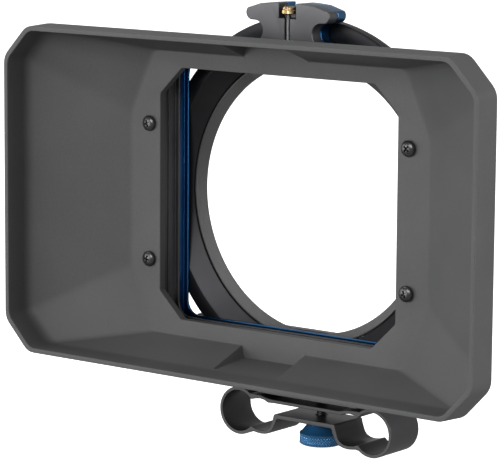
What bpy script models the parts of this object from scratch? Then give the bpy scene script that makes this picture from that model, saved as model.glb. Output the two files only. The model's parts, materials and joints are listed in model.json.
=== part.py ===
"""Two-stage matte box on a clamp for 15 mm rods.

The frame: +X to the right seen from the front, +Y back towards the lens, +Z up. The origin lies midway
between the two rod axes, in the middle of the clamp's depth. The optical axis runs along Y at AXIS_Z.
"""
import bmesh
import bpy
from math import cos, radians, sin
from mathutils import Vector

MM = 0.001
GAP = 0.3 * MM                     # clearance between touching pieces

# Where things lie along the optical axis.
AXIS_Z = 81.3 * MM                 # optical axis above the rods
RIM_Y = -55.45 * MM                # front of the hood
FLANGE_Y = RIM_Y + 28.4 * MM       # front face of the hood's flange
FLANGE_THICK = 3.0 * MM
PLATE_THICK = 2.8 * MM
TRAY_THICK = 4.9 * MM
RING_THICK = 6.3 * MM
BRACKET_THICK = 3.0 * MM
PLATE_Y = FLANGE_Y + FLANGE_THICK + GAP
FRONT_TRAY_Y = PLATE_Y + PLATE_THICK + GAP
REAR_TRAY_Y = FRONT_TRAY_Y + TRAY_THICK + GAP
RING_Y = REAR_TRAY_Y + TRAY_THICK + GAP
RING_BACK_Y = RING_Y + RING_THICK
BRACKET_Y = RING_BACK_Y + GAP

# Hood: half sizes and chamfer legs of its octagonal sections, as (half width, half height, leg x, leg z).
HOOD_WALL = 1.8 * MM
SKIRT_DEPTH = 11.0 * MM
HOOD_RIM = (103.5 * MM, 60.2 * MM, 11.1 * MM, 11.6 * MM)
HOOD_SKIRT = (104.0 * MM, 60.7 * MM, 11.1 * MM, 11.6 * MM)
HOOD_FLANGE = (66.0 * MM, 52.0 * MM, 10.4 * MM, 23.6 * MM)
HOOD_WINDOW = (52.5 * MM, 46.0 * MM, 10.0 * MM, 9.6 * MM)
FUNNEL_FILLET = 0.17               # share of the funnel's slope that its corner fillet takes
POCKET_HALF = 14.0 * MM            # pocket in the funnel's top and bottom walls
POCKET_FLOOR_BACK = 56.3 * MM
POCKET_FLOOR_FRONT = 57.7 * MM
BULGE_WALL = 2.2 * MM
HOOD_SCREW_X = 57.4 * MM
HOOD_SCREW_Z = 25.0 * MM

# Screws: (shank radius, head radius, head height).
M3_BUTTON = (1.35 * MM, 2.85 * MM, 1.7 * MM)
M25_PAN = (1.1 * MM, 2.2 * MM, 1.4 * MM)

# Filter stage.
STAGE_HALF = 66.0 * MM
STAGE_TOP = 57.0 * MM              # heights are counted from the optical axis
STAGE_BOTTOM = -61.2 * MM
PLATE_WINDOW = (53.9 * MM, 49.5 * MM)
RAIL_INNER = 57.5 * MM
RAIL_TOP = 54.0 * MM
BASE_HEIGHT = 4.0 * MM
STAGE_BOLT_X = 61.3 * MM
STAGE_BOLT_Z = 10.0 * MM
BASE_SCREW_X = 62.0 * MM
SPRING_Z = 32.0 * MM
SPRING_HALF = 11.0 * MM
SPRING_RISE = 1.7 * MM
SPRING_THICK = 0.4 * MM
SPRING_WIDTH = 3.0 * MM

# Filter trays.
TRAY_HALF = RAIL_INNER - GAP
TRAY_BOTTOM = STAGE_BOTTOM + BASE_HEIGHT + GAP
TRAY_TOP = 57.1 * MM
TRAY_WINDOW = (52.2 * MM, 47.2 * MM)
TRAY_WINDOW_RADIUS = 5.2 * MM
TRAY_LIP = 1.0 * MM                # thickness of the lip behind the filter
FILTER_HALF = 53.9 * MM
FILTER_BOTTOM = -50.9 * MM
POCKET_TOP = 56.0 * MM
HANDLE_TOP = 71.3 * MM
HANDLE_HALF = 18.4 * MM
NECK_RADIUS = 3.7 * MM             # round cut-outs beside the neck
NECK_CENTRE_X = 14.6 * MM
NOTCH_HALF = 3.7 * MM
NOTCH_FLOOR = 65.7 * MM
NOTCH_WALL = 1.2 * MM               # thickness of the front tray's wall behind its notch
NOTCH_WALL_TOP = 69.9 * MM
WHEEL_LOW = 67.2 * MM
WHEEL_HEIGHT = 2.6 * MM
SCREW_RADIUS = 0.85 * MM
JAW_HALF = 50.0 * MM
JAW_LOW = 51.3 * MM
JAW_HEIGHT = 3.1 * MM
PAD_HEIGHT = 1.0 * MM

# Lens ring and its adapter.
RING_RADIUS = 66.0 * MM
RING_BACK_RADIUS = 65.5 * MM
RING_MOUTH = 60.0 * MM
RING_BORE = 52.9 * MM
CONE_DEPTH = 3.4 * MM
ADAPTER_BORE = 49.0 * MM
ADAPTER_RIBS = 4

# Bracket between the ring and the clamp.
BRACKET_TOP = AXIS_Z - 48.4 * MM
BRACKET_HALF = 54.0 * MM
FOOT_HALF = 27.0 * MM
FOOT_FLAT = 22.0 * MM                # half width of the foot's underside, which clears the rod sockets
FOOT_LOW = 7.5 * MM
FOOT_HIGH = 13.5 * MM
FOOT_DEPTH = 14.0 * MM
BRACKET_SCREWS = ((33.0 * MM, -52.0 * MM), (12.0 * MM, -58.5 * MM))

# Rod clamp.
ROD_HALF_SPACING = 30.0 * MM
SOCKET_RADIUS = 7.6 * MM
SOCKET_OUTER = 8.9 * MM
CLAMP_DEPTH = 17.1 * MM
STRIP_TOP = 6.2 * MM
STRIP_LOW = 4.9 * MM
BRIDGE_TOP = 0.9 * MM
BRIDGE_LOW = -0.7 * MM
CLAMP_SCREW_RADIUS = 2.0 * MM
CLAMP_SCREW_Y = 2.4 * MM            # the screw stands a little behind the middle of the clamp
WASHER_THICK = 0.6 * MM
KNOB_TOP = BRIDGE_LOW - 2 * GAP - WASHER_THICK

ROUND = 24                         # sides of small round pieces


# ---- shared tools ---------------------------------------------------------------------------------

def material(name, colour, roughness, metallic=0.0):
    """A plain Principled material."""
    made = bpy.data.materials.new(name)
    made.use_nodes = True
    shader = made.node_tree.nodes["Principled BSDF"]
    shader.inputs["Base Color"].default_value = (*colour, 1.0)
    shader.inputs["Roughness"].default_value = roughness
    shader.inputs["Metallic"].default_value = metallic
    return made


def piece(name, bm, finish, smooth=False):
    """Turn a bmesh into a named object with its own copy of a finish."""
    bmesh.ops.recalc_face_normals(bm, faces=bm.faces)
    mesh = bpy.data.meshes.new(name)
    bm.to_mesh(mesh)
    bm.free()
    if smooth:
        mesh.shade_smooth()
        mesh.set_sharp_from_angle(angle=radians(35))
    obj = bpy.data.objects.new(name, mesh)
    own = finish.copy()
    own.name = name + "_finish"
    obj.data.materials.append(own)
    bpy.context.scene.collection.objects.link(obj)
    return obj


def helper(name, bm):
    """A solid that only cuts or joins others."""
    obj = piece(name, bm, FINISH["helper"])
    obj.hide_render = True
    obj.display_type = "WIRE"
    return obj


def combine(target, tool, operation):
    """Add a Boolean modifier that keeps the exact solver."""
    modifier = target.modifiers.new(tool.name, "BOOLEAN")
    modifier.operation = operation
    modifier.object = tool


def prism(outline, low, high, axis="Y"):
    """A bmesh solid: a flat outline pushed along an axis. Outline points are (x, z) for Y, (x, y) for Z."""
    bm = bmesh.new()
    near = [bm.verts.new(place(point, low, axis)) for point in outline]
    far = [bm.verts.new(place(point, high, axis)) for point in outline]
    bm.faces.new(near)
    bm.faces.new(far)
    for i in range(len(outline)):
        j = (i + 1) % len(outline)
        bm.faces.new((near[i], near[j], far[j], far[i]))
    return bm


def place(point, depth, axis):
    """A flat point at a depth along an axis."""
    if axis == "Y":
        return Vector((point[0], depth, point[1]))
    return Vector((point[0], point[1], depth))


def block(low, high):
    """A box bmesh between two corners."""
    outline = [(low[0], low[2]), (high[0], low[2]), (high[0], high[2]), (low[0], high[2])]
    return prism(outline, low[1], high[1])


def disc(centre, radius, low, high, axis="Y", sides=ROUND):
    """A cylinder bmesh along an axis."""
    return prism(arc(centre, radius, 0, 360, sides)[:-1], low, high, axis)


def turned(profile, centre, axis="Y", sides=ROUND):
    """A turned solid. The profile is a closed ring of (radius, depth); a radius of 0 closes on the axis."""
    bm = bmesh.new()
    rings = []
    for radius, depth in profile:
        if radius == 0:
            rings.append([bm.verts.new(place(centre, depth, axis))])
        else:
            points = arc(centre, radius, 0, 360, sides)[:-1]
            rings.append([bm.verts.new(place(point, depth, axis)) for point in points])
    for i, ring in enumerate(rings):
        after = rings[(i + 1) % len(rings)]
        if len(ring) == 1 and len(after) == 1:
            continue
        for k in range(sides):
            m = (k + 1) % sides
            corners = [ring[k % len(ring)], ring[m % len(ring)], after[m % len(after)], after[k % len(after)]]
            bm.faces.new(list(dict.fromkeys(corners)))
    return bm


def arc(centre, radius, start, end, steps):
    """Points on a circle between two angles in degrees, both ends included."""
    angles = [radians(start + (end - start) * i / steps) for i in range(steps + 1)]
    return [(centre[0] + radius * cos(a), centre[1] + radius * sin(a)) for a in angles]


def octagon(half_x, half_z, leg_x, leg_z, centre_z=AXIS_Z):
    """A rectangle with cut corners, counter-clockwise."""
    quarter = [(half_x, half_z - leg_z), (half_x - leg_x, half_z)]
    right = quarter
    left = [(-x, z) for x, z in reversed(quarter)]
    points = right + left + [(x, -z) for x, z in reversed(left)] + [(x, -z) for x, z in reversed(right)]
    return [(x, z + centre_z) for x, z in points]


def rounded_rectangle(half_x, low, high, radius, steps=5):
    """A rectangle between two heights with round corners, counter-clockwise."""
    points = []
    corners = ((half_x, high, 0), (-half_x, high, 90), (-half_x, low, 180), (half_x, low, 270))
    for x, z, start in corners:
        centre = (x - radius if x > 0 else x + radius, z - radius if z == high else z + radius)
        points += arc(centre, radius, start, start + 90, steps)
    return points


def mirrored(half):
    """A closed outline from its right half, listed from the bottom up."""
    return half + [(-x, z) for x, z in reversed(half)]


def flat_screw_holes(target, name, places, radius, low, high, axis="Y"):
    """Cut one round hole for each place."""
    for i, centre in enumerate(places):
        combine(target, helper(f"{name}_{i + 1}", disc(centre, radius, low, high, axis, 16)), "DIFFERENCE")


def signed_places(x, z, centre_z=AXIS_Z):
    """The four points at plus and minus x and z around the optical axis."""
    return [(sx * x, centre_z + sz * z) for sz in (1, -1) for sx in (-1, 1)]


def screw(name, centre, seat, tip, size, finish, axis="Y"):
    """A domed screw. Its head stands off the seat, away from the tip."""
    shank, head, height = size
    out = 1 if seat > tip else -1
    under = seat + out * GAP
    dome = [(head * cos(a), under + out * height * (0.35 + 0.65 * sin(a)))
            for a in (radians(step) for step in (0, 25, 50, 70))]
    profile = [(0, tip), (shank * 0.75, tip), (shank, tip + out * 0.4 * MM), (shank, under), (head, under)]
    profile += dome + [(0, under + out * height)]
    return piece(name, turned(profile, centre, axis, 16), finish, smooth=True)


# ---- hood -----------------------------------------------------------------------------------------

def blend_sections(a, b, share):
    """An octagon part way between two octagons."""
    return tuple(p + (q - p) * share for p, q in zip(a, b))


def grown(section, wall):
    """An octagon offset outwards by a wall."""
    half_x, half_z, leg_x, leg_z = section
    return (half_x + wall, half_z + wall, leg_x, leg_z)


def hood_stations():
    """Sections from the flange's window out along the inside, over the rim and back along the outside."""
    inner_rim = (HOOD_RIM[0] - HOOD_WALL, HOOD_RIM[1] - HOOD_WALL,
                 HOOD_RIM[2] - 0.7 * MM, HOOD_RIM[3] - 0.7 * MM)
    corner_y = RIM_Y + SKIRT_DEPTH
    stations = [(HOOD_WINDOW, FLANGE_Y), (HOOD_FLANGE, FLANGE_Y)]
    fillet_end = blend_sections(inner_rim, HOOD_FLANGE, FUNNEL_FILLET)
    fillet_end_y = corner_y + (FLANGE_Y - corner_y) * FUNNEL_FILLET
    fillet_start_y = corner_y - 2.5 * MM
    for step in range(5):
        t = step / 4
        section = blend_sections(fillet_end, inner_rim, 1 - (1 - t) ** 2)
        depth = fillet_end_y * (1 - t) ** 2 + corner_y * 2 * t * (1 - t) + fillet_start_y * t ** 2
        stations.append((section, depth))
    stations += [(inner_rim, RIM_Y), (HOOD_RIM, RIM_Y), (HOOD_SKIRT, corner_y - 0.5 * MM)]
    stations.append((grown(HOOD_SKIRT, -1.2 * MM), corner_y + 1.3 * MM))
    back = FLANGE_Y + FLANGE_THICK
    stations += [(grown(HOOD_FLANGE, 2.5 * MM), back), (HOOD_WINDOW, back)]
    return stations


def make_hood():
    """The sunshade: one moulded shell with a flange, two pockets and four screw holes."""
    bm = bmesh.new()
    loops = []
    for section, depth in hood_stations():
        loops.append([bm.verts.new((x, depth, z)) for x, z in octagon(*section)])
    for i, loop in enumerate(loops):
        after = loops[(i + 1) % len(loops)]
        for k in range(8):
            m = (k + 1) % 8
            bm.faces.new((loop[k], loop[m], after[m], after[k]))
    hood = piece("hood", bm, FINISH["hood"])
    back = FLANGE_Y + FLANGE_THICK
    for side, word in ((1, "top"), (-1, "bottom")):
        bulge_half = POCKET_HALF + BULGE_WALL
        outline = [(RIM_Y + SKIRT_DEPTH - 0.4 * MM, 59.6 * MM), (back - 0.5 * MM, 58.6 * MM),
                   (back - 0.5 * MM, 50.0 * MM), (FLANGE_Y + 1.2 * MM, 50.0 * MM),
                   (RIM_Y + SKIRT_DEPTH + 0.8 * MM, 59.0 * MM)]
        combine(hood, helper(f"hood_bulge_{word}", side_prism(outline, bulge_half, side)), "UNION")
        floor = [(RIM_Y + SKIRT_DEPTH + 0.2 * MM, POCKET_FLOOR_FRONT), (FLANGE_Y, POCKET_FLOOR_BACK),
                 (FLANGE_Y, 50.0 * MM), (RIM_Y + SKIRT_DEPTH + 0.2 * MM, 50.0 * MM)]
        combine(hood, helper(f"hood_pocket_{word}", side_prism(floor, POCKET_HALF, side)), "DIFFERENCE")
    flat_screw_holes(hood, "hood_hole", signed_places(HOOD_SCREW_X, HOOD_SCREW_Z), M3_BUTTON[0] + GAP,
                     FLANGE_Y - 2 * MM, back + 2 * MM)


def side_prism(outline, half, side):
    """An outline of (y, height) pushed along X on both sides, above (1) or below (-1) the axis."""
    bm = bmesh.new()
    ends = []
    for x in (-half, half):
        ends.append([bm.verts.new((x, y, AXIS_Z + side * z)) for y, z in outline])
    bm.faces.new(ends[0])
    bm.faces.new(ends[1])
    for i in range(len(outline)):
        j = (i + 1) % len(outline)
        bm.faces.new((ends[0][i], ends[0][j], ends[1][j], ends[1][i]))
    return bm


def make_hood_screws():
    """Four domed screws through the hood's flange into the stage plate."""
    tip = PLATE_Y + PLATE_THICK - 0.3 * MM
    for i, centre in enumerate(signed_places(HOOD_SCREW_X, HOOD_SCREW_Z)):
        screw(f"hood_screw_{i + 1}", centre, FLANGE_Y, tip, M3_BUTTON, FINISH["black_steel"])


# ---- filter stage ---------------------------------------------------------------------------------

def make_stage_plate():
    """The frame that carries the hood and closes the tray slot at the front."""
    outline = rounded_rectangle(STAGE_HALF, AXIS_Z + STAGE_BOTTOM, AXIS_Z + STAGE_TOP, 5 * MM)
    plate = piece("stage_plate", prism(outline, PLATE_Y, PLATE_Y + PLATE_THICK), FINISH["black_anodised"])
    half_x, half_z = PLATE_WINDOW
    window = rounded_rectangle(half_x, AXIS_Z - half_z, AXIS_Z + half_z, 6 * MM)
    low = PLATE_Y - 2 * MM
    high = PLATE_Y + PLATE_THICK + 2 * MM
    combine(plate, helper("plate_window", prism(window, low, high)), "DIFFERENCE")
    hood_places = signed_places(HOOD_SCREW_X, HOOD_SCREW_Z)
    bolt_places = signed_places(STAGE_BOLT_X, STAGE_BOLT_Z)
    flat_screw_holes(plate, "plate_hole", hood_places, M3_BUTTON[0] + GAP, low, high)
    flat_screw_holes(plate, "plate_bolt_hole", bolt_places, M25_PAN[0] + GAP, low, high)


def make_rails():
    """Side rails of the tray slot. The left one has a recess for each tray's spring."""
    low_z = AXIS_Z + TRAY_BOTTOM
    for side, word in ((-1, "left"), (1, "right")):
        inner = side * RAIL_INNER
        outer = side * STAGE_HALF
        corner_low = (min(inner, outer), FRONT_TRAY_Y, low_z)
        corner_high = (max(inner, outer), RING_Y - GAP, AXIS_Z + RAIL_TOP)
        rail = piece(f"rail_{word}", block(corner_low, corner_high), FINISH["black_anodised"])
        places = [(side * STAGE_BOLT_X, AXIS_Z + z) for z in (STAGE_BOLT_Z, -STAGE_BOLT_Z)]
        flat_screw_holes(rail, f"rail_{word}_hole", places, M25_PAN[0] + GAP, FRONT_TRAY_Y - MM, RING_Y + MM)
        middle = (FRONT_TRAY_Y + RING_Y - GAP) / 2
        flat_screw_holes(rail, f"rail_{word}_base_hole", [(side * BASE_SCREW_X, middle)], M3_BUTTON[0] + GAP,
                         low_z - MM, low_z + 9 * MM, "Z")
        if side < 0:
            for y, tray in ((FRONT_TRAY_Y, "front"), (REAR_TRAY_Y, "rear")):
                combine(rail, helper(f"{tray}_spring_recess", spring_recess(y)), "DIFFERENCE")


def spring_recess(tray_y):
    """The space in the left rail for one leaf spring."""
    centre_y = tray_y + TRAY_THICK / 2
    half_y = SPRING_WIDTH / 2 + GAP
    half_z = SPRING_HALF + GAP
    depth = SPRING_RISE + SPRING_THICK + GAP
    return block((-RAIL_INNER - depth, centre_y - half_y, AXIS_Z + SPRING_Z - half_z),
                 (-RAIL_INNER + MM, centre_y + half_y, AXIS_Z + SPRING_Z + half_z))


def make_springs():
    """Bowed leaf springs that rub on the edge of each tray."""
    steps = 12
    for tray_y, word in ((FRONT_TRAY_Y, "front"), (REAR_TRAY_Y, "rear")):
        bow = []
        for i in range(steps + 1):
            t = i / steps * 2 - 1
            bow.append((-RAIL_INNER - SPRING_RISE * t * t, AXIS_Z + SPRING_Z + SPRING_HALF * t))
        back = [(x - SPRING_THICK, z) for x, z in reversed(bow)]
        low = tray_y + (TRAY_THICK - SPRING_WIDTH) / 2
        piece(f"{word}_tray_spring", prism(bow + back, low, low + SPRING_WIDTH), FINISH["steel"], smooth=True)


def make_base_bar():
    """The bottom of the tray slot, screwed to both rails from below."""
    low = AXIS_Z + STAGE_BOTTOM
    high = low + BASE_HEIGHT
    bar = piece("base_bar", block((-STAGE_HALF, FRONT_TRAY_Y, low), (STAGE_HALF, RING_Y - GAP, high)),
                FINISH["black_anodised"])
    middle = (FRONT_TRAY_Y + RING_Y - GAP) / 2
    for side, word in ((-1, "left"), (1, "right")):
        centre = (side * BASE_SCREW_X, middle)
        flat_screw_holes(bar, f"base_hole_{word}", [centre], M3_BUTTON[0] + GAP, low - MM, high + MM, "Z")
        screw(f"base_screw_{word}", centre, low, high + 7 * MM, M3_BUTTON, FINISH["black_steel"], "Z")


def make_stage_bolts():
    """Four long bolts from the ring's back through the rails into the stage plate."""
    for i, centre in enumerate(signed_places(STAGE_BOLT_X, STAGE_BOLT_Z)):
        screw(f"stage_bolt_{i + 1}", centre, RING_BACK_Y, PLATE_Y + 0.4 * MM, M25_PAN, FINISH["black_steel"])


# ---- filter trays ---------------------------------------------------------------------------------

def handle_half():
    """Right half of the tray's outline from the bottom up: a square shoulder, a neck and an ear."""
    points = arc((TRAY_HALF - 3 * MM, TRAY_BOTTOM + 3 * MM), 3 * MM, -90, 0, 5)
    points += arc((TRAY_HALF - 3 * MM, TRAY_TOP - 3 * MM), 3 * MM, 0, 90, 5)
    neck = (NECK_CENTRE_X, TRAY_TOP + NECK_RADIUS)
    points += arc(neck, NECK_RADIUS, -90, -270, 12)
    ear_low = TRAY_TOP + 2 * NECK_RADIUS
    points += arc((HANDLE_HALF - 2.6 * MM, ear_low + 2.6 * MM), 2.6 * MM, -80, 40, 8)
    points += [(12.0 * MM, HANDLE_TOP - 0.75 * MM), (7.7 * MM, HANDLE_TOP - 0.35 * MM), (0, HANDLE_TOP)]
    return [(x, AXIS_Z + z) for x, z in points]


def tray_outline():
    """The whole tray's outline with its handle."""
    half = handle_half()
    return half + [(-x, z) for x, z in reversed(half[:-1])]


def make_tray(word, tray_y, axis_depth, finish, notch_wall_top):
    """One tray: window, filter pocket, notch for the thumbwheel and groove for its screw."""
    back = tray_y + TRAY_THICK
    tray = piece(f"{word}_tray", prism(tray_outline(), tray_y, back), finish)
    half_x, half_z = TRAY_WINDOW
    window = rounded_rectangle(half_x, AXIS_Z - half_z, AXIS_Z + half_z, TRAY_WINDOW_RADIUS)
    combine(tray, helper(f"{word}_window", prism(window, tray_y - MM, back + MM)), "DIFFERENCE")
    pocket = rounded_rectangle(FILTER_HALF, AXIS_Z + FILTER_BOTTOM, AXIS_Z + POCKET_TOP, 2 * MM, 3)
    combine(tray, helper(f"{word}_pocket", prism(pocket, tray_y - MM, back - TRAY_LIP)), "DIFFERENCE")
    top = AXIS_Z + HANDLE_TOP + MM
    steps = (("notch", NOTCH_FLOOR, back - NOTCH_WALL), ("notch_top", notch_wall_top, back + MM))
    for label, floor, reach in steps:
        notch = block((-NOTCH_HALF, tray_y - MM, AXIS_Z + floor), (NOTCH_HALF, reach, top))
        combine(tray, helper(f"{word}_{label}", notch), "DIFFERENCE")
    half_groove = SCREW_RADIUS + GAP
    bottom = arc((0, tray_y + axis_depth), half_groove, 0, 180, 8)
    groove = bottom + [(-half_groove, tray_y - MM), (half_groove, tray_y - MM)]
    cutter = prism(groove, AXIS_Z + POCKET_TOP - 0.5 * MM, AXIS_Z + NOTCH_FLOOR + 0.5 * MM, "Z")
    combine(tray, helper(f"{word}_groove", cutter), "DIFFERENCE")


def make_tray_drive(word, tray_y, axis_depth, wheel_radius):
    """Thumbwheel, lead screw, jaw and rubber pad of one tray."""
    centre = (0, tray_y + axis_depth)
    low = AXIS_Z + WHEEL_LOW
    high = low + WHEEL_HEIGHT
    edge = 0.3 * MM
    bore = SCREW_RADIUS + GAP
    rim = [(bore, low), (wheel_radius - edge, low), (wheel_radius, low + edge), (wheel_radius, high - edge),
           (wheel_radius - edge, high), (bore, high)]
    piece(f"{word}_thumbwheel", turned(rim, centre, "Z", 32), FINISH["brass"], smooth=True)
    tip = AXIS_Z + JAW_LOW + 1.6 * MM
    rod_end = high - 0.1 * MM
    rod = [(0, tip), (SCREW_RADIUS - 0.2 * MM, tip), (SCREW_RADIUS, tip + 0.3 * MM),
           (SCREW_RADIUS, rod_end - 0.3 * MM), (SCREW_RADIUS - 0.2 * MM, rod_end), (0, rod_end)]
    piece(f"{word}_lead_screw", turned(rod, centre, "Z", 16), FINISH["steel"], smooth=True)
    jaw_y = tray_y + GAP
    jaw_back = tray_y + TRAY_THICK - TRAY_LIP - GAP
    jaw_low = AXIS_Z + JAW_LOW
    jaw = piece(f"{word}_jaw", block((-JAW_HALF, jaw_y, jaw_low), (JAW_HALF, jaw_back, jaw_low + JAW_HEIGHT)),
                FINISH["jaw"])
    slot_y = (tray_y - MM, centre[1] + bore)
    if axis_depth > TRAY_THICK / 3:
        slot_y = (centre[1] - bore, jaw_back + MM)
    slot = block((-bore, slot_y[0], tip - GAP), (bore, slot_y[1], jaw_low + JAW_HEIGHT + MM))
    combine(jaw, helper(f"{word}_jaw_slot", slot), "DIFFERENCE")
    pad_high = jaw_low - GAP
    piece(f"{word}_jaw_pad", block((-JAW_HALF + 2 * MM, jaw_y + 0.3 * MM, pad_high - PAD_HEIGHT),
                                   (JAW_HALF - 2 * MM, jaw_back - 0.3 * MM, pad_high)), FINISH["rubber"])


# ---- lens ring ------------------------------------------------------------------------------------

def make_lens_ring():
    """The round back plate with a conical mouth, its bore and the bolt holes."""
    profile = [(RING_MOUTH, RING_Y), (RING_RADIUS, RING_Y), (RING_RADIUS, RING_Y + 2 * MM),
               (RING_BACK_RADIUS, RING_BACK_Y), (RING_BORE, RING_BACK_Y), (RING_BORE, RING_Y + CONE_DEPTH)]
    ring = piece("lens_ring", turned(profile, (0, AXIS_Z), "Y", 96), FINISH["black_anodised"], smooth=True)
    bolts = signed_places(STAGE_BOLT_X, STAGE_BOLT_Z)
    flat_screw_holes(ring, "ring_hole", bolts, M25_PAN[0] + GAP, RING_Y - MM, RING_BACK_Y + MM)
    flat_screw_holes(ring, "ring_bracket_hole", bracket_screw_places(), M25_PAN[0] + GAP,
                     RING_Y + 2 * MM, RING_BACK_Y + MM)


def make_adapter_ring():
    """The ribbed inner ring that fits the lens."""
    front = RING_Y + CONE_DEPTH
    outer = RING_BORE - GAP
    mouth = outer - 0.5 * MM
    profile = [(outer, RING_BACK_Y), (outer, front), (mouth, front)]
    for i in range(1, ADAPTER_RIBS + 1):
        share = i / ADAPTER_RIBS
        radius = mouth + (ADAPTER_BORE - mouth) * share
        depth = front + (RING_BACK_Y - 0.5 * MM - front) * share
        profile += [(profile[-1][0], depth - 0.12 * MM), (radius, depth)]
    profile.append((ADAPTER_BORE, RING_BACK_Y))
    piece("adapter_ring", turned(profile, (0, AXIS_Z), "Y", 96), FINISH["black_anodised"], smooth=True)


# ---- bracket and rod clamp ------------------------------------------------------------------------

def bracket_screw_places():
    """The four screws that hold the bracket to the ring."""
    return [(side * x, AXIS_Z + z) for x, z in BRACKET_SCREWS for side in (-1, 1)]


def make_bracket():
    """The plate behind the ring and the foot that stands on the clamp."""
    foot_side = FOOT_LOW + 1.7 * MM
    half = [(FOOT_FLAT, FOOT_LOW), (FOOT_HALF, foot_side), (FOOT_HALF, FOOT_HIGH)]
    half += arc((FOOT_HALF + 9 * MM, FOOT_HIGH + 2 * MM), 9 * MM, 180, 120, 5)
    half += [(BRACKET_HALF, BRACKET_TOP - 8 * MM), (BRACKET_HALF, BRACKET_TOP)]
    back = BRACKET_Y + BRACKET_THICK
    bracket = piece("rod_bracket", prism(mirrored(half), BRACKET_Y, back), FINISH["black_anodised"])
    foot_y = FOOT_DEPTH / 2
    foot_half = [(FOOT_FLAT, FOOT_LOW), (FOOT_HALF, foot_side), (FOOT_HALF, FOOT_HIGH - 0.5 * MM)]
    foot = prism(mirrored(foot_half), -foot_y, foot_y)
    combine(bracket, helper("bracket_foot", foot), "UNION")
    flat_screw_holes(bracket, "bracket_hole", bracket_screw_places(), M25_PAN[0] + GAP,
                     BRACKET_Y - MM, back + MM)
    flat_screw_holes(bracket, "foot_hole", [(0, CLAMP_SCREW_Y)], CLAMP_SCREW_RADIUS + GAP, FOOT_LOW - MM,
                     FOOT_HIGH - 1.5 * MM, "Z")
    for i, centre in enumerate(bracket_screw_places()):
        screw(f"bracket_screw_{i + 1}", centre, back, RING_Y + 2.4 * MM, M25_PAN, FINISH["black_steel"])


def clamp_outer():
    """Right half of the clamp's outer outline, from the bridge's underside round the socket to the top."""
    half = [(11.9 * MM, BRIDGE_LOW), (12.5 * MM, -1.1 * MM), (12.9 * MM, -2.4 * MM), (14.1 * MM, -4.5 * MM)]
    half += [(14.9 * MM, -5.8 * MM), (16.0 * MM, -6.6 * MM), (17.6 * MM, -7.1 * MM), (19.6 * MM, -7.3 * MM)]
    half += [(21.6 * MM, -7.15 * MM), (23.2 * MM, -6.9 * MM)]
    centre = (ROD_HALF_SPACING, 0)
    half += arc(centre, SOCKET_OUTER, -126, 126, 34)
    half += [(22.4 * MM, 7.15 * MM), (20.0 * MM, 7.1 * MM), (17.4 * MM, 6.5 * MM), (15.0 * MM, STRIP_TOP)]
    return half


def clamp_inner():
    """Right half of the clamp's inner outline, from the bridge's top round the socket to the upper strip."""
    half = [(13.5 * MM, BRIDGE_TOP), (13.9 * MM, 0.4 * MM), (14.3 * MM, -1.2 * MM), (15.3 * MM, -3.9 * MM)]
    half += [(16.2 * MM, -5.0 * MM), (17.9 * MM, -5.8 * MM), (20.0 * MM, -6.05 * MM), (22.1 * MM, -5.75 * MM)]
    half += [(23.6 * MM, -5.25 * MM)]
    centre = (ROD_HALF_SPACING, 0)
    half += arc(centre, SOCKET_RADIUS, -138, 139, 36)
    half += [(22.4 * MM, 5.5 * MM), (20.2 * MM, 5.8 * MM), (18.2 * MM, 5.5 * MM), (16.6 * MM, 4.75 * MM)]
    half += [(14.0 * MM, STRIP_LOW)]
    return half


def make_clamp():
    """One springy extrusion: two rod sockets joined by an upper strip and a raised lower bridge."""
    half_depth = CLAMP_DEPTH / 2
    clamp = piece("rod_clamp", prism(mirrored(clamp_outer()), -half_depth, half_depth),
                  FINISH["black_anodised"], smooth=True)
    inside = prism(mirrored(clamp_inner()), -half_depth - MM, half_depth + MM)
    combine(clamp, helper("clamp_inside", inside), "DIFFERENCE")
    flat_screw_holes(clamp, "clamp_hole", [(0, CLAMP_SCREW_Y)], CLAMP_SCREW_RADIUS + GAP, -4 * MM, 9 * MM, "Z")


def make_clamp_drive():
    """Washer, screw and knob that close the clamp on the rods."""
    centre = (0, CLAMP_SCREW_Y)
    bore = CLAMP_SCREW_RADIUS + GAP
    low = KNOB_TOP + GAP
    washer = [(bore, low), (4.6 * MM, low), (4.6 * MM, low + WASHER_THICK), (bore, low + WASHER_THICK)]
    piece("clamp_washer", turned(washer, centre, "Z", 32), FINISH["steel"], smooth=True)
    floor = -8.4 * MM
    profile = [(0, -10.0 * MM), (7.3 * MM, -10.0 * MM), (8.05 * MM, -9.3 * MM), (8.05 * MM, -5.8 * MM),
               (7.7 * MM, -5.4 * MM), (5.4 * MM, -2.7 * MM), (4.8 * MM, KNOB_TOP), (bore, KNOB_TOP),
               (bore, floor), (0, floor)]
    piece("clamp_knob", turned(profile, centre, "Z", 48), FINISH["blue_anodised"], smooth=True)
    top = FOOT_HIGH - 2.5 * MM
    tip = floor + 4 * GAP
    rod = [(0, tip), (CLAMP_SCREW_RADIUS, tip), (CLAMP_SCREW_RADIUS, top - 0.5 * MM),
           (CLAMP_SCREW_RADIUS - 0.5 * MM, top), (0, top)]
    piece("clamp_screw", turned(rod, centre, "Z"), FINISH["black_steel"], smooth=True)


for old in list(bpy.data.objects):
    bpy.data.objects.remove(old, do_unlink=True)

FINISH = {
    "hood": material("hood_moulding", (0.075, 0.075, 0.078), 0.75),
    "black_anodised": material("black_anodised", (0.022, 0.022, 0.026), 0.38, 0.6),
    "blue_anodised": material("blue_anodised", (0.015, 0.16, 0.42), 0.3, 0.8),
    "black_steel": material("black_steel", (0.02, 0.02, 0.022), 0.3, 0.7),
    "steel": material("steel", (0.55, 0.55, 0.56), 0.3, 1.0),
    "brass": material("brass", (0.75, 0.55, 0.25), 0.3, 1.0),
    "jaw": material("jaw_aluminium", (0.05, 0.05, 0.055), 0.4, 0.6),
    "rubber": material("rubber", (0.02, 0.02, 0.02), 0.9),
    "helper": material("helper", (1.0, 0.0, 1.0), 1.0),
}

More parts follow.
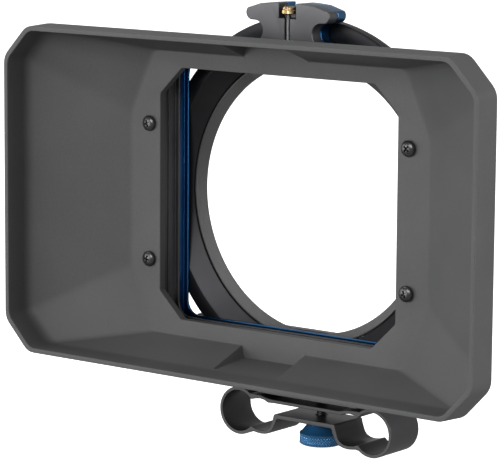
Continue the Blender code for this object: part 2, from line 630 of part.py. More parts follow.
make_hood()
make_hood_screws()
make_stage_plate()
make_rails()
make_springs()
make_base_bar()
make_stage_bolts()
FRONT_AXIS_DEPTH = 0.9 * MM        # the front tray's screw runs in its front face
REAR_AXIS_DEPTH = TRAY_THICK / 2   # the rear tray's screw runs inside, clear of the front tray
make_tray("front", FRONT_TRAY_Y, FRONT_AXIS_DEPTH, FINISH["black_anodised"], NOTCH_WALL_TOP)
make_tray("rear", REAR_TRAY_Y, REAR_AXIS_DEPTH, FINISH["blue_anodised"], NOTCH_FLOOR)
make_tray_drive("front", FRONT_TRAY_Y, FRONT_AXIS_DEPTH, 2.3 * MM)
make_tray_drive("rear", REAR_TRAY_Y, REAR_AXIS_DEPTH, 2.3 * MM)
make_lens_ring()
make_adapter_ring()
make_bracket()
make_clamp()
make_clamp_drive()
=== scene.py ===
"""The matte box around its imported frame: camera, light, materials and detailed surfaces.

Lengths named here are in millimetres unless a comment says otherwise; MM turns them into metres.
"""
import json
from math import cos, radians, sin, sqrt, tau

import bmesh
import bpy
from mathutils import Matrix, Vector


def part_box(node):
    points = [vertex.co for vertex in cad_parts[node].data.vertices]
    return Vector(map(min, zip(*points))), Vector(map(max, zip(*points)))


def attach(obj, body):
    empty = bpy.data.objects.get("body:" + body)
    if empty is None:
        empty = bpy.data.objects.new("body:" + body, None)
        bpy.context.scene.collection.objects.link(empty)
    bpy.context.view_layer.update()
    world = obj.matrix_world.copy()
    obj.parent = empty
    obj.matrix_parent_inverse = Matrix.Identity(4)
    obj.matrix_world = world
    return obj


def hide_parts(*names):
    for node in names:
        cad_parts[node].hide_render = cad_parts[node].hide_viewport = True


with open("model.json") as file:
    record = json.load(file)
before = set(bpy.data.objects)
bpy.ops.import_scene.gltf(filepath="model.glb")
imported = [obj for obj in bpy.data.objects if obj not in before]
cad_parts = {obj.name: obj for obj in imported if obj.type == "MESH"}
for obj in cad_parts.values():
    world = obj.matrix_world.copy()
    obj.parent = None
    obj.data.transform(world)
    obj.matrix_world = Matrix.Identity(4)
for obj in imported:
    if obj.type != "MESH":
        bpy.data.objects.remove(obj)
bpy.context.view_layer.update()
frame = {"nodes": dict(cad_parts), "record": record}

MM = 0.001
SCENE = bpy.context.scene
NODES = frame["nodes"]
BODY_OF = {node: body for body, nodes in frame["record"]["behaviour"]["bodies"].items() for node in nodes}

# Camera, at the photograph's angle (metres and degrees).
CAMERA_AT = Vector((0.58673, -0.79214, 0.22084))
CAMERA_AZIMUTH = 38.003
CAMERA_ELEVATION = 8.735
CAMERA_ROLL = 0.413
CAMERA_LENS = 199.05

# The frame's measures that the detailed surfaces share with the CAD.
AXIS_Z = 81.3
RIM_Y = -55.45
SKIRT_DEPTH = 11.0
FLANGE_Y = RIM_Y + 28.4
FLANGE_BACK = FLANGE_Y + 3.0
POCKET_HALF = 14.0
BULGE_HALF = 16.2

# Surroundings: the world's strength, and then metres. The floor is just under the clamp.
AMBIENT = 0.37
LOOK_AT = Vector((0, 0, 0.08))
FLOOR_Z = -0.012
FLOOR_HALF = 12

# Broken edges of the machined pieces: millimetres, degrees and rows of faces.
WELD = 0.01
FLAT_ANGLE = 0.6
EDGE_ANGLE = 31
EDGE_SEGMENTS = 2

# Roundings: pieces of curve at each corner of the hood's profile, and of a section across it.
PROFILE_STEPS = 6
SECTION_STEPS = 4
CORNER_SHARE = 0.45

# The pocket in the hood's top and bottom walls: heights from the optical axis, and its sloping sides.
POCKET_FLOOR = 57.7
POCKET_FALL = 1.4
POCKET_REACH = 1.2
POCKET_WALL = 2.1
POCKET_RAMP = 1.3
BULGE_RAMP = 1.8
BULGE_MARGIN = 0.7
RAMP_FOOT = 0.2

# Screws, as (shank radius, head radius, head height), and how their recesses are turned, in degrees.
LARGE_SCREW = (1.35, 2.85, 1.7)
SMALL_SCREW = (1.1, 2.2, 1.4)
FIRST_TURN = 17
TURN_STEP = 31

# Knurls and threads.
WHEEL_TEETH = 30
WHEEL_TOOTH = 0.16
KNOB_TEETH = 48
KNOB_PITCH = 1.05
KNOB_TOOTH = 0.36
ADAPTER_THREADS = 14
ROWS_PER_TURN = 5


# ---- camera, light and floor ----------------------------------------------------------------------

def make_camera():
    """The camera, a little above the hood and off to its right."""
    data = bpy.data.cameras.new("camera")
    data.lens = CAMERA_LENS
    data.sensor_width = 36
    data.sensor_fit = "HORIZONTAL"
    data.clip_start = 0.01
    data.clip_end = 60
    camera = bpy.data.objects.new("camera", data)
    turn = Matrix.Rotation(radians(CAMERA_AZIMUTH), 4, "Z")
    tilt = Matrix.Rotation(radians(90 - CAMERA_ELEVATION), 4, "X")
    roll = Matrix.Rotation(radians(CAMERA_ROLL), 4, "Z")
    camera.matrix_world = Matrix.Translation(CAMERA_AT) @ turn @ tilt @ roll
    SCENE.collection.objects.link(camera)
    SCENE.camera = camera


def area_light(name, azimuth, height, distance, size, power):
    """A soft box that looks at the object. Azimuth 0 is straight in front, positive is to the right.
    Height, distance and size are in metres, power in watts."""
    data = bpy.data.lights.new(name, "AREA")
    data.shape = "RECTANGLE"
    data.size, data.size_y = size
    data.energy = power
    light = bpy.data.objects.new(name, data)
    angle = radians(azimuth)
    light.location = (distance * sin(angle), -distance * cos(angle), height)
    light.rotation_euler = (LOOK_AT - light.location).to_track_quat("-Z", "Y").to_euler()
    SCENE.collection.objects.link(light)


def make_light():
    """Dim white surroundings and six soft boxes, the strongest at the right side and above the front."""
    world = bpy.data.worlds.new("surroundings")
    world.use_nodes = True
    background = world.node_tree.nodes["Background"]
    background.inputs["Color"].default_value = (1, 1, 1, 1)
    background.inputs["Strength"].default_value = AMBIENT
    SCENE.world = world
    SCENE.view_settings.view_transform = "Standard"
    area_light("front_left_box", -32, 0.05, 1.5, (1.0, 0.9), 10.0)
    area_light("side_left_box", -65, 0.15, 1.5, (0.8, 0.9), 3.0)
    area_light("front_high_box", 8, 0.60, 1.5, (0.9, 0.6), 12.0)
    area_light("top_left_box", -66, 1.25, 0.9, (0.8, 0.8), 5.0)
    area_light("side_right_box", 94, 0.30, 1.5, (0.4, 1.0), 19.0)
    area_light("back_left_box", 218, 0.35, 2.0, (1.6, 0.9), 1.3)


def make_floor():
    """A pale plain floor, as bright as a light table to the camera; it throws no light up at the object."""
    bm = bmesh.new()
    bmesh.ops.create_grid(bm, x_segments=4, y_segments=4, size=FLOOR_HALF)
    mesh = bpy.data.meshes.new("floor")
    bm.to_mesh(mesh)
    bm.free()
    floor = bpy.data.objects.new("floor", mesh)
    floor.location.z = FLOOR_Z
    paint = bpy.data.materials.new("floor_paint")
    paint.use_nodes = True
    shader = paint.node_tree.nodes["Principled BSDF"]
    shader.inputs["Base Color"].default_value = (0.9, 0.9, 0.9, 1)
    shader.inputs["Roughness"].default_value = 1.0
    shader.inputs["Specular IOR Level"].default_value = 0.0
    shader.inputs["Emission Color"].default_value = (1, 1, 1, 1)
    shader.inputs["Emission Strength"].default_value = 1.0
    mesh.materials.append(paint)
    SCENE.collection.objects.link(floor)
    floor.visible_diffuse = False
    floor.visible_glossy = False


# ---- materials ------------------------------------------------------------------------------------

class Finish:
    """A Principled material under construction, with short ways to add and join nodes."""

    def __init__(self, name, metallic=0.0, specular=0.5):
        self.material = bpy.data.materials.new(name)
        self.material.use_nodes = True
        self.tree = self.material.node_tree
        self.shader = self.tree.nodes["Principled BSDF"]
        self.shader.inputs["Metallic"].default_value = metallic
        self.shader.inputs["Specular IOR Level"].default_value = specular
        self.place = self.node("ShaderNodeTexCoord").outputs["Object"]

    def node(self, kind, **settings):
        """Add a node and set its properties."""
        made = self.tree.nodes.new(kind)
        for key, value in settings.items():
            setattr(made, key, value)
        return made

    def join(self, source, target):
        """Link an output to an input."""
        self.tree.links.new(source, target)

    def noise(self, size, detail=3.0, rough=0.5, stretch=(1, 1, 1)):
        """Noise whose features are about size millimetres across, stretched along an axis if asked."""
        mapping = self.node("ShaderNodeMapping")
        mapping.inputs["Scale"].default_value = [1 / (size * MM * s) for s in stretch]
        self.join(self.place, mapping.inputs["Vector"])
        texture = self.node("ShaderNodeTexNoise")
        texture.inputs["Scale"].default_value = 1.0
        texture.inputs["Detail"].default_value = detail
        texture.inputs["Roughness"].default_value = rough
        self.join(mapping.outputs["Vector"], texture.inputs["Vector"])
        return texture.outputs["Fac"]

    def rings(self, centre, plane, spacing):
        """Fine lathe lines: a wave of the distance from an axis, spacing millimetres apart."""
        shift = self.node("ShaderNodeVectorMath", operation="SUBTRACT")
        shift.inputs[1].default_value = [c * MM for c in centre]
        flat = self.node("ShaderNodeVectorMath", operation="MULTIPLY")
        flat.inputs[1].default_value = plane
        far = self.node("ShaderNodeVectorMath", operation="LENGTH")
        wave = self.node("ShaderNodeMath", operation="MULTIPLY")
        wave.inputs[1].default_value = tau / (spacing * MM)
        sine = self.node("ShaderNodeMath", operation="SINE")
        self.join(self.place, shift.inputs[0])
        self.join(shift.outputs["Vector"], flat.inputs[0])
        self.join(flat.outputs["Vector"], far.inputs[0])
        self.join(far.outputs["Value"], wave.inputs[0])
        self.join(wave.outputs["Value"], sine.inputs[0])
        return sine.outputs["Value"]

    def colour(self, factor, dark, light):
        """Base colour that runs from dark to light over the middle of a factor's range."""
        ramp = self.node("ShaderNodeValToRGB")
        ramp.color_ramp.elements[0].position = 0.3
        ramp.color_ramp.elements[0].color = (*dark, 1)
        ramp.color_ramp.elements[1].position = 0.7
        ramp.color_ramp.elements[1].color = (*light, 1)
        self.join(factor, ramp.inputs["Fac"])
        return ramp.outputs["Color"]

    def edge_wear_and_glint(self, colour, edge, low=0.52, high=0.60):
        """The colour, paler along sharp edges: wear where hands and tools rub, and, where the edge colour is
        bright as on the knob's knurl crests, a painted highlight.
        """
        point = self.node("ShaderNodeNewGeometry").outputs["Pointiness"]
        span = self.node("ShaderNodeMapRange")
        span.inputs["From Min"].default_value = low
        span.inputs["From Max"].default_value = high
        mix = self.node("ShaderNodeMix", data_type="RGBA")
        self.join(point, span.inputs["Value"])
        self.join(span.outputs["Result"], mix.inputs["Factor"])
        self.join(colour, mix.inputs["A"])
        mix.inputs["B"].default_value = (*edge, 1)
        return mix.outputs["Result"]

    def finish(self, colour, roughness, bumps):
        """Join colour, roughness (factor, low, high) and bumps [(height, strength, depth in mm)]."""
        self.join(colour, self.shader.inputs["Base Color"])
        factor, low, high = roughness
        span = self.node("ShaderNodeMapRange")
        span.inputs["To Min"].default_value = low
        span.inputs["To Max"].default_value = high
        self.join(factor, span.inputs["Value"])
        self.join(span.outputs["Result"], self.shader.inputs["Roughness"])
        last = None
        for height, strength, depth in bumps:
            bump = self.node("ShaderNodeBump")
            bump.inputs["Strength"].default_value = strength
            bump.inputs["Distance"].default_value = depth * MM
            self.join(height, bump.inputs["Height"])
            if last:
                self.join(last, bump.inputs["Normal"])
            last = bump.outputs["Normal"]
        if last:
            self.join(last, self.shader.inputs["Normal"])
        return self.material


def hood_plastic():
    """Dark grey moulded plastic with a fine spark-eroded grain and faint cloudy patches."""
    f = Finish("hood_plastic", specular=0.42)
    grain = f.noise(0.35, detail=4)
    cloud = f.noise(26, detail=2)
    colour = f.colour(cloud, (0.067, 0.068, 0.068), (0.079, 0.079, 0.079))
    speck = f.colour(grain, (0.84, 0.84, 0.84), (1.12, 1.12, 1.12))
    mix = f.node("ShaderNodeMix", data_type="RGBA", blend_type="MULTIPLY")
    mix.inputs["Factor"].default_value = 1.0
    f.join(colour, mix.inputs["A"])
    f.join(speck, mix.inputs["B"])
    edge = f.edge_wear_and_glint(mix.outputs["Result"], (0.10, 0.10, 0.10))
    return f.finish(edge, (grain, 0.50, 0.66), [(grain, 0.22, 0.05), (f.noise(1.3), 0.08, 0.1)])


def anodised(name, dark, light, edge, metallic, specular, rough=(0.34, 0.48), lines=None):
    """Bead-blasted and anodised aluminium, with lathe lines if a (centre, plane, spacing) is given."""
    f = Finish(name, metallic=metallic, specular=specular)
    blast = f.noise(0.16, detail=5)
    cloud = f.noise(14, detail=3)
    # Edges are paler: wear, and a painted highlight where the edge colour is bright, as on the knob's knurl.
    colour = f.edge_wear_and_glint(f.colour(cloud, dark, light), edge, 0.53, 0.64)
    bumps = [(blast, 0.12, 0.02)]
    if lines:
        bumps.append((f.rings(*lines), 0.10, 0.012))
    return f.finish(colour, (blast, *rough), bumps)


def bright_metal(name, dark, light, rough, stretch, size=0.5):
    """Bare metal with fine machining marks drawn out along one direction."""
    f = Finish(name, metallic=1.0)
    marks = f.noise(size, detail=4, stretch=stretch)
    cloud = f.noise(3, detail=2)
    return f.finish(f.colour(cloud, dark, light), (marks, *rough), [(marks, 0.15, 0.015)])


def black_oxide():
    """Blackened steel screws with a trace of oil and worn rims."""
    f = Finish("black_oxide", metallic=0.8, specular=0.6)
    marks = f.noise(0.3, detail=4)
    colour = f.edge_wear_and_glint(f.colour(marks, (0.050, 0.050, 0.053), (0.085, 0.085, 0.088)), (0.2, 0.2, 0.2))
    return f.finish(colour, (marks, 0.18, 0.32), [(marks, 0.08, 0.01)])


def soft_rubber():
    """Matt black rubber."""
    f = Finish("soft_rubber", specular=0.3)
    pores = f.noise(0.25, detail=4)
    return f.finish(f.colour(pores, (0.012, 0.012, 0.012), (0.03, 0.03, 0.03)), (pores, 0.75, 0.95),
                    [(pores, 0.4, 0.05)])


OPTICAL = ((0, 0, AXIS_Z), (1, 0, 1))
UPRIGHT_PLANE = (1, 1, 0)
KNOB_AXIS = (0, 2.4, 0)

# Anodised colours, as (dark, light, pale edge). The pale edge is wear, except in BRIGHT_BLUE, where it is a
# painted highlight on the knob's knurl crests.
BLACK = ((0.060, 0.060, 0.064), (0.078, 0.078, 0.084), (0.16, 0.16, 0.17))
DEEP_BLACK = ((0.022, 0.022, 0.024), (0.030, 0.030, 0.033), (0.10, 0.10, 0.11))
BLUE = ((0.016, 0.085, 0.22), (0.024, 0.110, 0.27), (0.22, 0.38, 0.54))
# BRIGHT_BLUE's pale edge colour is a painted highlight that lights the crests of the knob's knurl.
BRIGHT_BLUE = ((0.020, 0.13, 0.30), (0.030, 0.17, 0.38), (0.36, 0.60, 0.80))
LIP_BLACK = ((0.034, 0.036, 0.034), (0.042, 0.044, 0.042), (0.1, 0.1, 0.1))
CLAMP_BLACK = ((0.012, 0.012, 0.013), (0.018, 0.018, 0.019), (0.08, 0.08, 0.09))
JAW_GREY = ((0.05, 0.05, 0.055), (0.07, 0.07, 0.075), (0.2, 0.2, 0.2))


# ---- mesh tools -----------------------------------------------------------------------------------

def add_piece(name, bm, finish, node, sharp=35, also=()):
    """Turn a bmesh into a piece that stands for a CAD node and rides on its body."""
    bmesh.ops.recalc_face_normals(bm, faces=bm.faces)
    mesh = bpy.data.meshes.new(name)
    bm.to_mesh(mesh)
    bm.free()
    mesh.shade_smooth()
    mesh.set_sharp_from_angle(angle=radians(sharp))
    mesh.materials.append(finish)
    piece = bpy.data.objects.new(name, mesh)
    SCENE.collection.objects.link(piece)
    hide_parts(node, *also)
    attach(piece, BODY_OF[node])
    return piece


def repaint(node, finish):
    """Give a CAD node whose shape is right a procedural material."""
    mesh = NODES[node].data
    mesh.materials.clear()
    mesh.materials.append(finish)


def softened(node, finish, width, slivers=False):
    """A CAD node with its sharp edges broken, as a machined part has them.
    With slivers, needle-thin faces are taken out first, which would shade as a crease."""
    bm = bmesh.new()
    bm.from_mesh(NODES[node].data)
    bmesh.ops.remove_doubles(bm, verts=bm.verts, dist=WELD * MM)
    if slivers:
        bmesh.ops.dissolve_degenerate(bm, dist=WELD * MM, edges=bm.edges)
    bmesh.ops.dissolve_limit(bm, angle_limit=radians(FLAT_ANGLE), verts=bm.verts, edges=bm.edges)
    piece = add_piece(node + "_detail", bm, finish, node, sharp=180)
    bevel = piece.modifiers.new("broken_edges", "BEVEL")
    bevel.limit_method = "ANGLE"
    bevel.angle_limit = radians(EDGE_ANGLE)
    bevel.width = width * MM
    bevel.segments = EDGE_SEGMENTS
    bevel.use_clamp_overlap = False
    flats = piece.modifiers.new("flat_faces_stay_flat", "WEIGHTED_NORMAL")
    flats.weight = 100


def grid_of_revolution(rows, columns, centre, axis, relief=None):
    """A turned surface. rows are (radius, depth) in mm; relief(angle, depth, radius) adds to the radius.
    A first or last radius of 0 closes the surface on the axis; otherwise the rows close into a ring."""
    bm = bmesh.new()
    rings = []
    for radius, depth in rows:
        if radius == 0:
            rings.append([bm.verts.new(on_axis(0, 0, depth, centre, axis))])
            continue
        ring = []
        for k in range(columns):
            angle = tau * k / columns
            r = radius + (relief(angle, depth, radius) if relief else 0)
            ring.append(bm.verts.new(on_axis(r * cos(angle), r * sin(angle), depth, centre, axis)))
        rings.append(ring)
    closed = rows[0][0] != 0 or rows[-1][0] != 0
    for i in range(len(rings) if closed else len(rings) - 1):
        a, b = rings[i], rings[(i + 1) % len(rings)]
        for k in range(columns):
            m = (k + 1) % columns
            corners = [a[k % len(a)], a[m % len(a)], b[m % len(b)], b[k % len(b)]]
            face = list(dict.fromkeys(corners))
            if len(face) > 2:
                bm.faces.new(face)
    return bm


def on_axis(u, v, depth, centre, axis):
    """A point beside an axis along Y or Z, from millimetres."""
    if axis == "Y":
        return Vector((centre[0] + u, depth, centre[1] + v)) * MM
    return Vector((centre[0] + u, centre[1] + v, depth)) * MM


def rounded(before, corner, after, cut, steps):
    """A smooth curve in place of a corner, cut back by a distance on both sides."""
    start = toward(corner, before, cut)
    end = toward(corner, after, cut)
    curve = []
    for k in range(steps + 1):
        t = k / steps
        curve.append(tuple(a * (1 - t) ** 2 + b * 2 * t * (1 - t) + c * t * t
                           for a, b, c in zip(start, corner, end)))
    return curve


def eased(points, cuts):
    """A closed path through points of any dimension, with each corner rounded."""
    path = []
    for i, point in enumerate(points):
        after = points[(i + 1) % len(points)]
        path += rounded(points[i - 1], point, after, cuts[i], PROFILE_STEPS)
    return path


def toward(point, other, distance):
    """The point moved a distance towards another, no further than 48% of the way."""
    gap = sqrt(sum((b - a) ** 2 for a, b in zip(point, other))) or 1
    share = min(distance / gap, 0.48)
    return tuple(a + (b - a) * share for a, b in zip(point, other))


# ---- hood -----------------------------------------------------------------------------------------

def pocket_columns():
    """Where the top and bottom walls have a row of points, from right to left."""
    wall = [POCKET_HALF + step for step in (-1.1, -0.7, -0.2, 0.2)]
    bulge = [BULGE_HALF + step for step in (-0.5, 0.1, 0.7, 1.3)]
    right = [24, *reversed(bulge), *reversed(wall), 8]
    return [*right, 0, *(-x for x in reversed(right))]


def relief_height(x, y, height, side):
    """Height of the funnel's top or bottom wall, with the central pocket (inside) or its bulge (outside)."""
    if side == 0:
        return height
    share = (y - RIM_Y - SKIRT_DEPTH) / (FLANGE_Y - RIM_Y - SKIRT_DEPTH)
    floor = POCKET_FLOOR - POCKET_FALL * max(0, min(share, POCKET_REACH))
    half, ramp = POCKET_HALF, POCKET_RAMP
    if side > 0:
        floor += POCKET_WALL
        half, ramp = BULGE_HALF + BULGE_MARGIN, BULGE_RAMP
    t = max(0.0, min(1.0, (half + RAMP_FOOT - abs(x)) / ramp))
    smooth = t * t * (3 - 2 * t)
    return max(height, height + (floor - height) * smooth)


def hood_loop(station, side):
    """The points of one section. station is (half width, half height, leg x, leg z, corner radius, y).
    side is -1 inside, 1 outside and 0 where the walls have no relief."""
    half_x, half_z, leg_x, leg_z, radius, y = station
    top_right, bottom_left = 2, 6
    right = [(half_x, -(half_z - leg_z)), (half_x, half_z - leg_z), (half_x - leg_x, half_z)]
    corners = right + [(-x, z) for x, z in reversed(right)]
    corners += [(-(half_x - leg_x), -half_z), (half_x - leg_x, -half_z)]
    loop = []
    for i, corner in enumerate(corners):
        after = corners[(i + 1) % len(corners)]
        loop += rounded(corners[i - 1], corner, after, radius * CORNER_SHARE, SECTION_STEPS)
        if i == top_right:
            loop += [(x, relief_height(x, y, half_z, side)) for x in pocket_columns()]
        if i == bottom_left:
            loop += [(x, -relief_height(x, y, half_z, side)) for x in reversed(pocket_columns())]
    return [Vector((x, y, z + AXIS_Z)) * MM for x, z in loop]


def hood_stations():
    """The hood's profile from the window's back, out along the inside and back along the outside."""
    corner_y = RIM_Y + SKIRT_DEPTH
    inner_rim = (101.7, 58.4, 10.4, 10.9, 5.0)
    window = (52.5, 46.0, 10.0, 9.6, 1.6)
    path = [
        (*window, FLANGE_BACK),
        (*window, FLANGE_Y),
        (66.0, 52.0, 10.4, 23.6, 5.0, FLANGE_Y),
        (*inner_rim, corner_y),
        (*inner_rim, RIM_Y),
        (103.5, 60.2, 11.1, 11.6, 6.0, RIM_Y),
        (104.0, 60.7, 11.1, 11.6, 6.4, corner_y),
        (68.5, 54.5, 11.4, 24.0, 6.0, FLANGE_BACK),
    ]
    return eased(path, cuts=[0.3, 0.6, 1.6, 2.8, 0.5, 0.45, 1.1, 0.8])


def make_hood(finish):
    """The moulded sunshade with all its edges rounded."""
    relief_of_corner = [0, 0, -1, -1, 0, 0, 1, 1]
    stations_per_corner = PROFILE_STEPS + 1
    bm = bmesh.new()
    loops = []
    for i, station in enumerate(hood_stations()):
        points = hood_loop(station, relief_of_corner[i // stations_per_corner])
        loops.append([bm.verts.new(point) for point in points])
    for i, loop in enumerate(loops):
        after = loops[(i + 1) % len(loops)]
        for k in range(len(loop)):
            m = (k + 1) % len(loop)
            bm.faces.new((loop[k], loop[m], after[m], after[k]))
    bmesh.ops.remove_doubles(bm, verts=bm.verts, dist=0.002 * MM)
    add_piece("hood_detail", bm, finish, "hood", sharp=32)


# ---- screws ---------------------------------------------------------------------------------------

def cross_cutter(radius, depth):
    """A tapered cross that makes a driver's recess, its mouth at height 0."""
    bm = bmesh.new()
    arm, half = radius * 0.62, radius * 0.17
    rise, taper = 0.6, 0.45
    plan = [(arm, -half), (arm, half), (half, half), (half, arm), (-half, arm), (-half, half), (-arm, half),
            (-arm, -half), (-half, -half), (-half, -arm), (half, -arm), (half, -half)]
    top = [bm.verts.new((x, y, depth * rise)) for x, y in plan]
    low = [bm.verts.new((x * taper, y * taper, -depth)) for x, y in plan]
    bm.faces.new(top)
    bm.faces.new(list(reversed(low)))
    for i in range(len(plan)):
        j = (i + 1) % len(plan)
        bm.faces.new((top[i], low[i], low[j], top[j]))
    return bm


def loose_mesh(name, bm):
    """An object that only takes part in a cut."""
    bmesh.ops.recalc_face_normals(bm, faces=bm.faces)
    mesh = bpy.data.meshes.new(name)
    bm.to_mesh(mesh)
    bm.free()
    made = bpy.data.objects.new(name, mesh)
    SCENE.collection.objects.link(made)
    return made


def screw_template(shank, head, height, length):
    """The mesh of a domed screw with a cross recess. Its head rests at height 0, its tip is at -length."""
    rim = 0.28
    crown = [(head * cos(radians(a)), height * (rim + (1 - rim) * sin(radians(a)))) for a in range(0, 86, 7)]
    rows = [(0, -length), (shank * 0.7, -length), (shank, -length + 0.4), (shank, -0.02),
            (head - 0.15, -0.02), (head, 0.12), *crown, (0, height)]
    body = loose_mesh("screw_blank", grid_of_revolution(rows, 48, (0, 0), "Z"))
    cutter = loose_mesh("screw_recess", cross_cutter(head * MM, height * 0.62 * MM))
    cutter.location.z = height * 0.97 * MM
    cut = body.modifiers.new("recess", "BOOLEAN")
    cut.object = cutter
    bpy.context.view_layer.update()
    graph = bpy.context.evaluated_depsgraph_get()
    mesh = bpy.data.meshes.new_from_object(body.evaluated_get(graph))
    for used in (body, cutter):
        bpy.data.objects.remove(used)
    return mesh


def place_screw(node, template, out, head_height, finish, turn):
    """Put a copy of a template where the CAD has a screw, its head towards a direction."""
    low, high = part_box(node)
    out = Vector(out)
    middle = (low + high) / 2
    reach = abs((high - low).dot(out)) / 2
    seat = middle + out * (reach - head_height * MM)
    bm = bmesh.new()
    bm.from_mesh(template)
    rotation = out.to_track_quat("Z", "Y").to_matrix().to_4x4() @ Matrix.Rotation(radians(turn), 4, "Z")
    bm.transform(Matrix.Translation(seat) @ rotation)
    add_piece(node + "_detail", bm, finish, node, sharp=38)


def make_screws(finish):
    """Every screw, each turned a little differently."""
    front, back, down = (0, -1, 0), (0, 1, 0), (0, 0, -1)
    plan = [("hood_screw_", range(1, 5), LARGE_SCREW, 5.8, front),
            ("base_screw_", ("left", "right"), LARGE_SCREW, 11.0, down),
            ("stage_bolt_", range(1, 5), SMALL_SCREW, 19.4, back),
            ("bracket_screw_", range(1, 5), SMALL_SCREW, 7.2, back)]
    turn = FIRST_TURN
    for stem, ends, size, length, out in plan:
        template = screw_template(*size, length)
        head_height = size[2]
        for end in ends:
            place_screw(f"{stem}{end}", template, out, head_height, finish, turn)
            turn = (turn + TURN_STEP) % 90


# ---- turned pieces --------------------------------------------------------------------------------

def centre_of(node, axis):
    """A turned node's axis position and its ends along that axis, in mm."""
    low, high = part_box(node)
    middle = (low + high) / (2 * MM)
    if axis == "Y":
        return (middle.x, middle.z), low.y / MM, high.y / MM
    return (middle.x, middle.y), low.z / MM, high.z / MM


def saw(value):
    """A triangle wave from 0 to 1 with period 1."""
    value %= 1
    return 1 - abs(2 * value - 1)


def make_rings(finish, lip_finish):
    """The lens ring and the threaded adapter in it."""
    centre, front, back = centre_of("lens_ring", "Y")
    mouth, throat, outer, waist = 60.3, 52.9, 66.0, 65.5
    rows = [(mouth, front), (outer - 0.4, front), (outer, front + 0.35), (outer, front + 1.95),
            (outer - 0.2, front + 2.15), (waist, front + 2.4), (waist + 0.25, front + 2.75),
            (waist, back - 0.4), (waist - 0.4, back), (throat + 0.4, back), (throat, back - 0.3),
            (throat, front + 3.5), (throat + 0.3, front + 3.25), (mouth - 0.3, front + 0.25)]
    ring = grid_of_revolution(doubled_edges(rows, 0.06), 192, centre, "Y")
    add_piece("lens_ring_detail", ring, finish, "lens_ring", 28)

    centre, front, back = centre_of("adapter_ring", "Y")
    outer, mouth, bore = 52.6, 52.0, 49.0
    thread_end = back - 0.4
    step = (thread_end - front) / ADAPTER_THREADS
    rows = [(outer, back - 0.2), (outer, front + 0.2), (outer - 0.2, front), (mouth, front)]
    for i in range(ADAPTER_THREADS):
        radius = mouth + (bore - mouth) * i / ADAPTER_THREADS
        depth = front + (thread_end - front) * i / ADAPTER_THREADS
        rows += [(radius, depth + step * 0.2), (radius - 0.02, depth + step * 0.8)]
    rows += [(bore, thread_end), (bore, back - 0.1), (bore + 0.2, back), (outer - 0.2, back)]
    lip = grid_of_revolution(rows, 192, centre, "Y")
    add_piece("adapter_ring_detail", lip, lip_finish, "adapter_ring", 50)


def doubled_edges(rows, gap):
    """Rows with each one split into two close together, which keeps the shading of flats flat."""
    path = []
    for i, row in enumerate(rows):
        before, after = rows[i - 1], rows[(i + 1) % len(rows)]
        path += [toward(row, before, gap), toward(row, after, gap)]
    return path


def make_thumbwheel(node, finish):
    """A small straight-knurled wheel with a hub on top."""
    centre, low, high = centre_of(node, "Z")
    radius = (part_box(node)[1].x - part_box(node)[0].x) / 2 / MM
    bore, upper = 0.95, radius - 0.3

    def knurl(angle, depth, r):
        return -WHEEL_TOOTH * (1 - saw(angle / tau * WHEEL_TEETH)) if r > upper - 0.02 else 0

    rows = [(bore, low), (radius - 0.4, low), (radius, low + 0.3), (radius, low + 1.3),
            (radius - 0.2, low + 1.5), (upper - 0.25, low + 1.55), (upper - 0.25, low + 1.7),
            (upper, low + 1.75), (upper, high - 0.3), (upper - 0.3, high), (bore + 0.35, high),
            (bore + 0.2, high - 0.1), (bore, high - 0.1)]
    add_piece(node + "_detail", grid_of_revolution(rows, 204, centre, "Z", knurl), finish, node, 30)


def make_threaded_rod(node, radius, pitch, depth, finish):
    """A rod with a real helical thread between its chamfered ends."""
    centre, low, high = centre_of(node, "Z")
    chamfer, plain = 0.4, 0.5

    def thread(angle, height, r):
        inside = low + plain < height < high - plain
        return -depth * saw(height / pitch - angle / tau) if inside and r > radius * 0.95 else 0

    length = high - low - 2 * chamfer
    steps = int(length / (pitch / ROWS_PER_TURN))
    rows = [(0, low), (radius - 0.3, low), (radius, low + chamfer)]
    rows += [(radius, low + chamfer + length * i / steps) for i in range(1, steps)]
    rows += [(radius, high - chamfer), (radius - 0.3, high), (0, high)]
    add_piece(node + "_detail", grid_of_revolution(rows, 28, centre, "Z", thread), finish, node, 60)


def make_knob(finish):
    """The clamp's knob: a polished cone above a diamond-knurled rim."""
    centre, low, high = centre_of("clamp_knob", "Z")
    radius, rim_low, rim_high = 8.05, -9.35, -5.85
    bore, floor = 2.3, -8.4
    rim_rows, fade = 24, 0.3

    def knurl(angle, depth, r):
        if not (rim_low - 0.01 < depth < rim_high + 0.01 and r > radius - 0.01):
            return 0
        edge = max(min(1.0, (depth - rim_low) / fade, (rim_high - depth) / fade), 0.0)
        across = angle / tau * KNOB_TEETH
        along = depth / KNOB_PITCH
        return -KNOB_TOOTH * (1 - min(saw(across + along), saw(across - along))) * edge - 0.02

    rows = [(0, low), (6.3, low), (7.2, low + 0.12), (7.75, low + 0.38), (radius, rim_low)]
    rows += [(radius, rim_low + (rim_high - rim_low) * i / rim_rows) for i in range(1, rim_rows)]
    rows += [(radius, rim_high), (7.9, rim_high + 0.25), (7.45, rim_high + 0.5), (6.5, -4.25),
             (5.75, -3.3), (5.3, -2.6), (5.0, -2.0), (4.8, high - 0.3), (4.5, high), (bore + 0.2, high),
             (bore, high - 0.2), (bore, floor), (0, floor)]
    knob = grid_of_revolution(rows, 336, centre, "Z", knurl)
    add_piece("clamp_knob_detail", knob, finish, "clamp_knob", 40)


# ---- everything together --------------------------------------------------------------------------

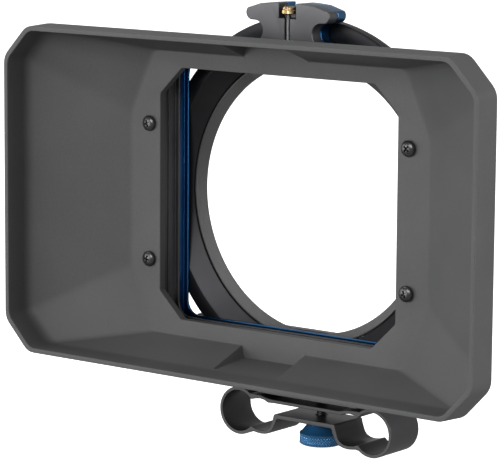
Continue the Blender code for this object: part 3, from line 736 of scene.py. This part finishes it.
def make_object():
    """Every detailed piece and every material."""
    black = anodised("black_anodised", *BLACK, metallic=0.70, specular=0.7)
    turned_black = anodised("turned_black", *DEEP_BLACK, metallic=0.85, specular=0.5,
                            lines=(*OPTICAL, 0.22))
    lip_black = anodised("lip_black", *LIP_BLACK, metallic=0.0, specular=0.9, rough=(0.42, 0.55))
    clamp_black = anodised("clamp_black", *CLAMP_BLACK, metallic=0.0, specular=0.5, rough=(0.34, 0.48))
    blue = anodised("blue_anodised", *BLUE, metallic=1.0, specular=0.5, rough=(0.24, 0.36))
    # The knob's pale edge colour paints highlights on its knurl crests.
    blue_knob = anodised("blue_knob", *BRIGHT_BLUE, metallic=0.55, specular=0.7, rough=(0.18, 0.28),
                         lines=(KNOB_AXIS, UPRIGHT_PLANE, 0.12))
    steel = bright_metal("bright_steel", (0.30, 0.30, 0.31), (0.42, 0.42, 0.43), (0.30, 0.45), (1, 1, 8))
    brass = bright_metal("machined_brass", (0.46, 0.31, 0.13), (0.62, 0.46, 0.25), (0.2, 0.34),
                         (1, 1, 6), size=0.3)
    jaw = anodised("jaw_aluminium", *JAW_GREY, metallic=0.5, specular=0.6)
    oxide = black_oxide()
    make_hood(hood_plastic())
    make_screws(oxide)
    for node, width in (("stage_plate", 0.35), ("rail_left", 0.4), ("rail_right", 0.4), ("base_bar", 0.4),
                        ("rod_bracket", 0.4), ("front_tray", 0.3)):
        softened(node, black, width, slivers=node == "rod_bracket")
    softened("rod_clamp", clamp_black, 0.22)
    softened("rear_tray", blue, 0.3)
    for word in ("front", "rear"):
        softened(f"{word}_jaw", jaw, 0.3)
        softened(f"{word}_jaw_pad", soft_rubber(), 0.2)
        make_thumbwheel(f"{word}_thumbwheel", brass)
        make_threaded_rod(f"{word}_lead_screw", 0.85, 0.35, 0.16, steel)
        repaint(f"{word}_tray_spring", steel)
    make_rings(turned_black, lip_black)
    softened("clamp_washer", steel, 0.12)
    make_threaded_rod("clamp_screw", 2.0, 0.7, 0.32, oxide)
    make_knob(blue_knob)


make_camera()
make_light()
make_floor()
make_object()
